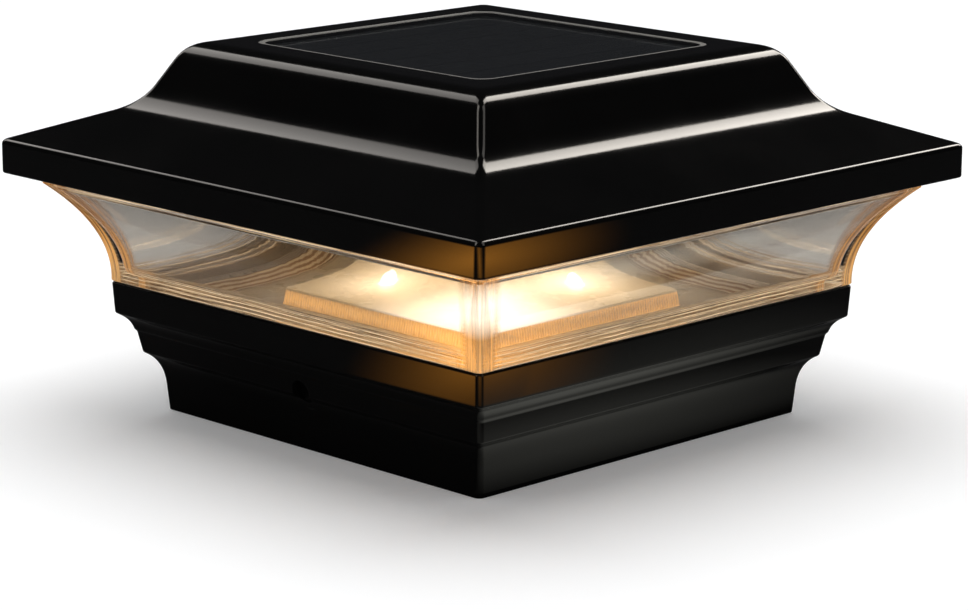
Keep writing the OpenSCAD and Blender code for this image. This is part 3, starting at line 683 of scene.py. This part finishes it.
glazing = Moulding(8)
glazing.follow(cornered([(50.6, 117.4), (50.85, 117.65), (50.85, 118.3), (50.75, 118.4)], PANEL_R))
made(glazing.mesh, "panel_glass", panel_glazing(), "roof", "panel_glazing", "panel_cover")

# A thin rubber bead over the joint between the glazing and the roof
bead = Moulding(8)
bead.follow(cornered([(50.88, 118.2), (50.88, 118.41), (49.8, 118.41)]
                     + bend((49.82, 118.5), (49.9, 118.64), (50.4, 118.66), 4)
                     + bend((50.9, 118.66), (51.22, 118.65), (51.22, 118.45), 4) + [(51.22, 118.2)],
                     PANEL_R), capped=False)
made(bead.mesh, "panel_bead", rubber("panel_bead_rubber", (0.036, 0.036, 0.035), (0.070, 0.068, 0.065)),
     "roof", "rubber_seal")


# ---------- base ----------

CORNER_R = 2.0
RIM_HALF, RIM_TOP, DECK_TOP = 83.5, 41.8, 34.5
POST_HOLE_Z, SCREW_R, RECESS_R, RECESS_FROM = 20.0, 2.1, 3.75, 8.8
RIB_AT, RIB_HALF = 42.3, 1.5

base_section = (
    cornered([(64.7, 31.5), (64.7, 32.0)], INNER_R)
    + cornered([(77.7, 32.0), (78.2, 30.9), (74.7, 27.5), (73.3, 20.7), (68.3, 13.0), (68.0, 0.3),
                (68.25, 0.0)], INNER_R)
    + cornered(bend((70.5, 0.0), (71.0, 0.0), (71.02, 0.5), 4), CORNER_R)
    + cornered(bend((71.7, 9.0), (72.4, 16.45), (76.6, 18.8), 16), CORNER_R)
    + cornered([(76.9, 19.2)], CORNER_R)
    + cornered(bend((78.05, 25.4), (78.15, 26.0), (78.6, 26.3), 4), CORNER_R)
    + cornered(bend((78.8, 26.7), (79.6, 29.9), (82.5, 31.5), 12), CORNER_R)
    + cornered(bend((82.6, 31.6), (83.0, 31.7), (83.02, 32.7), 5), CORNER_R)
    + cornered(bend((RIM_HALF, 41.2), (RIM_HALF, RIM_TOP), (82.9, RIM_TOP), 5), CORNER_R)
    + cornered([(79.95, RIM_TOP), (79.7, 41.55), (79.7, DECK_TOP)], 1.5)
    + cornered([(30.0, DECK_TOP)], 1.5))
base = Moulding(6)
base.follow(base_section)
drill = bmesh.new()
for side in (-1, 1):
    add(drill, turned([(0, 0), (SCREW_R, 0), (SCREW_R, RECESS_FROM), (RECESS_R, RECESS_FROM),
                       (RECESS_R, 20), (0, 20)],
                      facing(0, side * 64, POST_HOLE_Z, Vector((0, side, 0))), steps=64))
body_mesh = carve(base.mesh, drill)
for turn in range(4):
    spin = Matrix.Rotation(turn * math.pi / 2, 4, "Z")
    for rib in (-RIB_AT, RIB_AT):
        before = set(body_mesh.verts)
        block(body_mesh, (65.0, rib - RIB_HALF, 0.02), (68.4, rib + RIB_HALF, 14.0))
        bmesh.ops.transform(body_mesh, verts=[v for v in body_mesh.verts if v not in before],
                            matrix=spin)
for side in (-1, 1):
    add(body_mesh, sleeve_ring(2.12, 6.0, 8.0, facing(0, side * 65, POST_HOLE_Z, Vector((0, side, 0)))))
made(body_mesh, "base_moulding", paint, "base", "black_casting", "base_casting")


# ---------- lens ----------

LENS_R, LENS_INNER_R = 1.6, 3.6
COLLAR_Z, FLARE_Z = 43.4, 73.6
FLARE_OUT, FLARE_IN, LENS_TOP = 98.4, 94.4, 82.3
lens_section = (
    cornered([(72.0, 36.0), (79.0, 36.0), (79.3, 36.3), (79.3, 42.1)], 3.0)
    + cornered([(83.1, 42.1), (RIM_HALF, 42.5)], LENS_R)
    + cornered(bend((RIM_HALF, COLLAR_Z), (RIM_HALF, 60.0), (FLARE_OUT, FLARE_Z), 28), LENS_R)
    + cornered([(FLARE_OUT, 79.5)], LENS_R)
    + cornered([(102.5, 79.5), (102.8, 79.8), (102.8, 82.0), (102.5, LENS_TOP)], 5.0)
    + cornered([(FLARE_IN, LENS_TOP)], LENS_R)
    + cornered(bend((FLARE_IN, FLARE_Z), (81.96, 62.24), (79.9, 48.8), 24), LENS_R, LENS_INNER_R)
    + cornered(bend((79.85, 48.3), (79.5, 45.2), (77.6, 44.8), 8), LENS_INNER_R)
    + cornered(bend((76.6, 44.6), (75.3, 44.5), (75.3, 43.4), 5), LENS_INNER_R)
    + cornered([(75.3, 39.3), (75.0, 39.0), (71.8, 39.0), (71.5, 38.7), (71.5, 36.3)], 3.0))
lens = Moulding(12)
lens.follow(lens_section, capped=False)
made(lens.mesh, "clear_lens", acrylic, "base", "clear_lens", "lens", sharp=50)


# ---------- tray ----------

tray_section = (
    cornered(bend((42.8, 41.2), (43.3, 41.2), (43.38, 40.7), 4), 2.0)
    + cornered(bend((44.05, 36.4), (44.2, 35.7), (44.9, 35.7), 4), 2.4)
    + cornered(bend((69.1, 35.7), (69.7, 35.7), (69.7, 36.3), 4), 2.0)
    + cornered(bend((69.7, 39.2), (69.7, 39.8), (70.3, 39.8), 4), 2.0)
    + cornered([(74.9, 39.8), (74.9, 39.05), (70.5, 39.05), (70.5, 34.9), (44.3, 34.9),
                (43.5, 35.2), (42.5, 40.4)], 2.0))
tray = Moulding(6)
tray.follow(tray_section)
DOME_AT = 20.5
for x in (-DOME_AT, DOME_AT):
    for y in (-DOME_AT, DOME_AT):
        add(tray.mesh, turned([(0, 40.9), (2.5, 40.9)] + bend((2.5, 41.2), (2.4, 43.1), (0, 43.2), 8),
                              facing(x, y, 0), steps=24))
made(tray.mesh, "tray_pressing", cream, "base", "tray_sheet", "reflector_tray")


# ---------- floor, world, lights ----------

def rays(f, *kinds):
    """1 for those kinds of ray."""
    path = f.node("LightPath")
    found = [Value(f, path.output.node.outputs[kind]) for kind in kinds]
    mask = found[0]
    for other in found[1:]:
        mask = mask.either(other)
    return mask


FLOOR_GLOW = 0.08
ROOM_LIGHT = 0.55


def pale_floor():
    """Matt white sweep that reads white behind the object and keeps its shadow.

    Its lower side is clear, so that the object's underside can be looked at.
    """
    f = finish("pale_floor")
    tone = f.speckle(3.0, 3, 0.5)
    matt = f.surface(colour=f.blend(tone, (0.80, 0.80, 0.80), (0.82, 0.82, 0.82)), roughness=0.9,
                     specular=0.0)
    sweep = f.surface(colour=f.blend(tone, (0.96, 0.965, 0.97), (0.98, 0.985, 0.99)), roughness=0.9,
                      specular=0.0)
    light = f.node("Emission", None, {"Color": (1, 1, 1, 1), "Strength": FLOOR_GLOW})
    both = f.node("AddShader", None, [sweep, light])
    dim = f.surface(colour=(0.14, 0.14, 0.14), roughness=0.9, specular=0.0)
    plain = f.node("MixShader", None, [rays(f, "Is Glossy Ray"), matt, dim])
    seen = rays(f, "Is Camera Ray", "Is Transmission Ray")
    lower_side = Value(f, f.node("NewGeometry").output.node.outputs["Backfacing"])
    air = f.node("BsdfTransparent", None, {"Color": (1, 1, 1, 1)})
    return f.show(f.node("MixShader", None, [
        lower_side.either(rays(f, "Is Shadow Ray")), f.node("MixShader", None, [seen, plain, both]), air]))


floor_mesh = bmesh.new()
bmesh.ops.create_circle(floor_mesh, cap_ends=True, segments=96, radius=9.0)
floor_data = bpy.data.meshes.new("floor")
floor_mesh.to_mesh(floor_data)
floor_mesh.free()
floor_data.materials.append(pale_floor())
floor = bpy.data.objects.new("floor", floor_data)
scene.collection.objects.link(floor)

world = bpy.data.worlds.new("studio")
scene.world = world
w = Finish(world)
white = w.node("Background", None, {"Color": (1, 1, 1, 1), "Strength": 1.0})
room = w.node("Background", None, {"Color": (0.985, 0.99, 1.0, 1), "Strength": ROOM_LIGHT})
gloom = w.node("Background", None, {"Color": (0.9, 0.92, 1.0, 1), "Strength": 0.02})
plain = w.node("MixShader", None, [rays(w, "Is Glossy Ray"), room, gloom])
seen = rays(w, "Is Camera Ray", "Is Transmission Ray")
w.node("OutputWorld", None, {"Surface": w.node("MixShader", None, [seen, plain, white])})

AIM = Vector((0, 0, 100)) * MM


def soft_box(name, toward, away, length, width, power, run, gloss_only=True, colour=(1, 1, 1)):
    """A rectangular lamp that faces the object from a direction, with its long side along run."""
    lamp = bpy.data.lights.new(name, "AREA")
    lamp.shape = "RECTANGLE"
    lamp.size, lamp.size_y = length, width
    lamp.energy = power
    lamp.color = colour
    box = bpy.data.objects.new(name, lamp)
    scene.collection.objects.link(box)
    back = Vector(toward).normalized()
    across = (Vector(run) - back * Vector(run).dot(back)).normalized()
    turn = Matrix((across, back.cross(across), back)).transposed().to_4x4()
    box.matrix_world = Matrix.Translation(AIM + back * away) @ turn
    box.visible_camera = False
    if gloss_only:
        box.visible_diffuse = False
        box.visible_transmission = False
    return box


STRIP_RUN, LEFT_STRIP, RIGHT_STRIP = 1.05, 0.36, 0.28
LEFT_TINT, RIGHT_TINT = (1, 0.95, 0.90), (1, 0.94, 0.86)
soft_box("left_strip", (-0.69, -0.11, 0.71), 1.0, STRIP_RUN, LEFT_STRIP, 12.5, (1, 0, 0),
         colour=LEFT_TINT)
soft_box("right_strip", (0.11, 0.69, 0.72), 1.0, STRIP_RUN, RIGHT_STRIP, 38.0, (0, 1, 0),
         colour=RIGHT_TINT)
soft_box("far_left_strip", (0.69, 0.11, 0.71), 1.0, STRIP_RUN, LEFT_STRIP, 12.5, (1, 0, 0),
         colour=LEFT_TINT)
soft_box("far_right_strip", (-0.11, -0.69, 0.72), 1.0, STRIP_RUN, RIGHT_STRIP, 20.0, (0, 1, 0),
         colour=RIGHT_TINT)
high_box = soft_box("high_box", (-0.15, 0.15, 1.0), 1.6, 1.8, 1.8, 21.0, (1, 0, 0), gloss_only=False)
high_box.visible_glossy = False


def glow_card(name, centre, facing_way, half_length, half_width, colour, strength, falling=2.0):
    """A soft-edged glowing card near the object, seen only in its gloss, from the lit side.

    centre and the half sizes are in millimetres, and a higher falling draws the glow together.
    """
    f = finish(name)
    x, y, _ = f.along()
    outward = distance(x / (half_length * MM), y / (half_width * MM))
    fade = (1 - f.ramp(outward, 0.0, 1.0)) ** falling
    front = 1 - Value(f, f.node("NewGeometry").output.node.outputs["Backfacing"])
    light = f.node("Emission", None, {"Color": (*colour, 1), "Strength": strength})
    open_air = f.node("BsdfTransparent", None, {"Color": (1, 1, 1, 1)})
    plate = bmesh.new()
    bmesh.ops.create_grid(plate, x_segments=1, y_segments=1, size=MM)
    bmesh.ops.scale(plate, vec=(half_length, half_width, 1), verts=plate.verts)
    data = bpy.data.meshes.new(name)
    plate.to_mesh(data)
    plate.free()
    data.materials.append(f.show(f.node("MixShader", None, [fade * front, open_air, light])))
    card = bpy.data.objects.new(name, data)
    scene.collection.objects.link(card)
    normal = Vector(facing_way).normalized()
    side = (Vector((0, 1, 0)) - normal * normal.y).normalized()
    card.matrix_world = (Matrix.Translation(Vector(centre) * MM)
                         @ Matrix((side, normal.cross(side), normal)).transposed().to_4x4())
    card.visible_camera = card.visible_diffuse = False
    card.visible_transmission = card.visible_shadow = False


PALE_SHINE = (1.0, 1.0, 0.90)
AMBER = (1.0, 0.39, 0.05)
LEFT_WAY, RIGHT_WAY, FRONT_WAY = (0.69, 0.685, 0.218), (-0.685, -0.69, 0.218), (-0.685, 0.69, 0.218)
glow_card("right_card", (113, 0, 2), (-1, 0, 0), 165, 31, PALE_SHINE, 1.8, 1.0)
glow_card("low_right_card", (88, -25, 1.5), (0, 0, 1), 150, 21, PALE_SHINE, 2.2, 1.0)
glow_card("left_eave_warmth", (66, -149, 70), LEFT_WAY, 46, 17, AMBER, 30.0)
glow_card("right_eave_warmth", (149, -66, 70), RIGHT_WAY, 46, 17, AMBER, 26.0)
glow_card("front_eave_warmth", (139, -139, 72), FRONT_WAY, 60, 16, AMBER, 30.0)
glow_card("left_base_warmth", (42, -125, 27), LEFT_WAY, 46, 26, AMBER, 20.0)
glow_card("right_base_warmth", (125, -42, 27), RIGHT_WAY, 46, 26, AMBER, 15.0)
glow_card("front_base_warmth", (115, -115, 29), FRONT_WAY, 60, 26, AMBER, 20.0)


# ---------- camera ----------

AZIMUTH, ELEVATION, ROLL = math.radians(45.16), math.radians(13.22), math.radians(0.25)
FILM_WIDTH, FOCUS_PIXELS, PICTURE_PIXELS = 36.0, 3303.5, 968
STAND = (725.63, -720.40, 274.86)
view = bpy.data.cameras.new("view")
view.sensor_width = FILM_WIDTH
view.lens = FILM_WIDTH * FOCUS_PIXELS / PICTURE_PIXELS
view.clip_start, view.clip_end = 0.05, 40.0
camera = bpy.data.objects.new("view", view)
scene.collection.objects.link(camera)
ahead = Vector((-math.sin(AZIMUTH) * math.cos(ELEVATION), math.cos(AZIMUTH) * math.cos(ELEVATION),
                -math.sin(ELEVATION)))
level = ahead.cross(LIFT).normalized()
upright = level.cross(ahead)
right = math.cos(ROLL) * level + math.sin(ROLL) * upright
top = math.cos(ROLL) * upright - math.sin(ROLL) * level
camera.matrix_world = (Matrix.Translation(Vector(STAND) * MM)
                       @ Matrix((right, top, -ahead)).transposed().to_4x4())
scene.camera = camera
scene.view_settings.view_transform = "Standard"
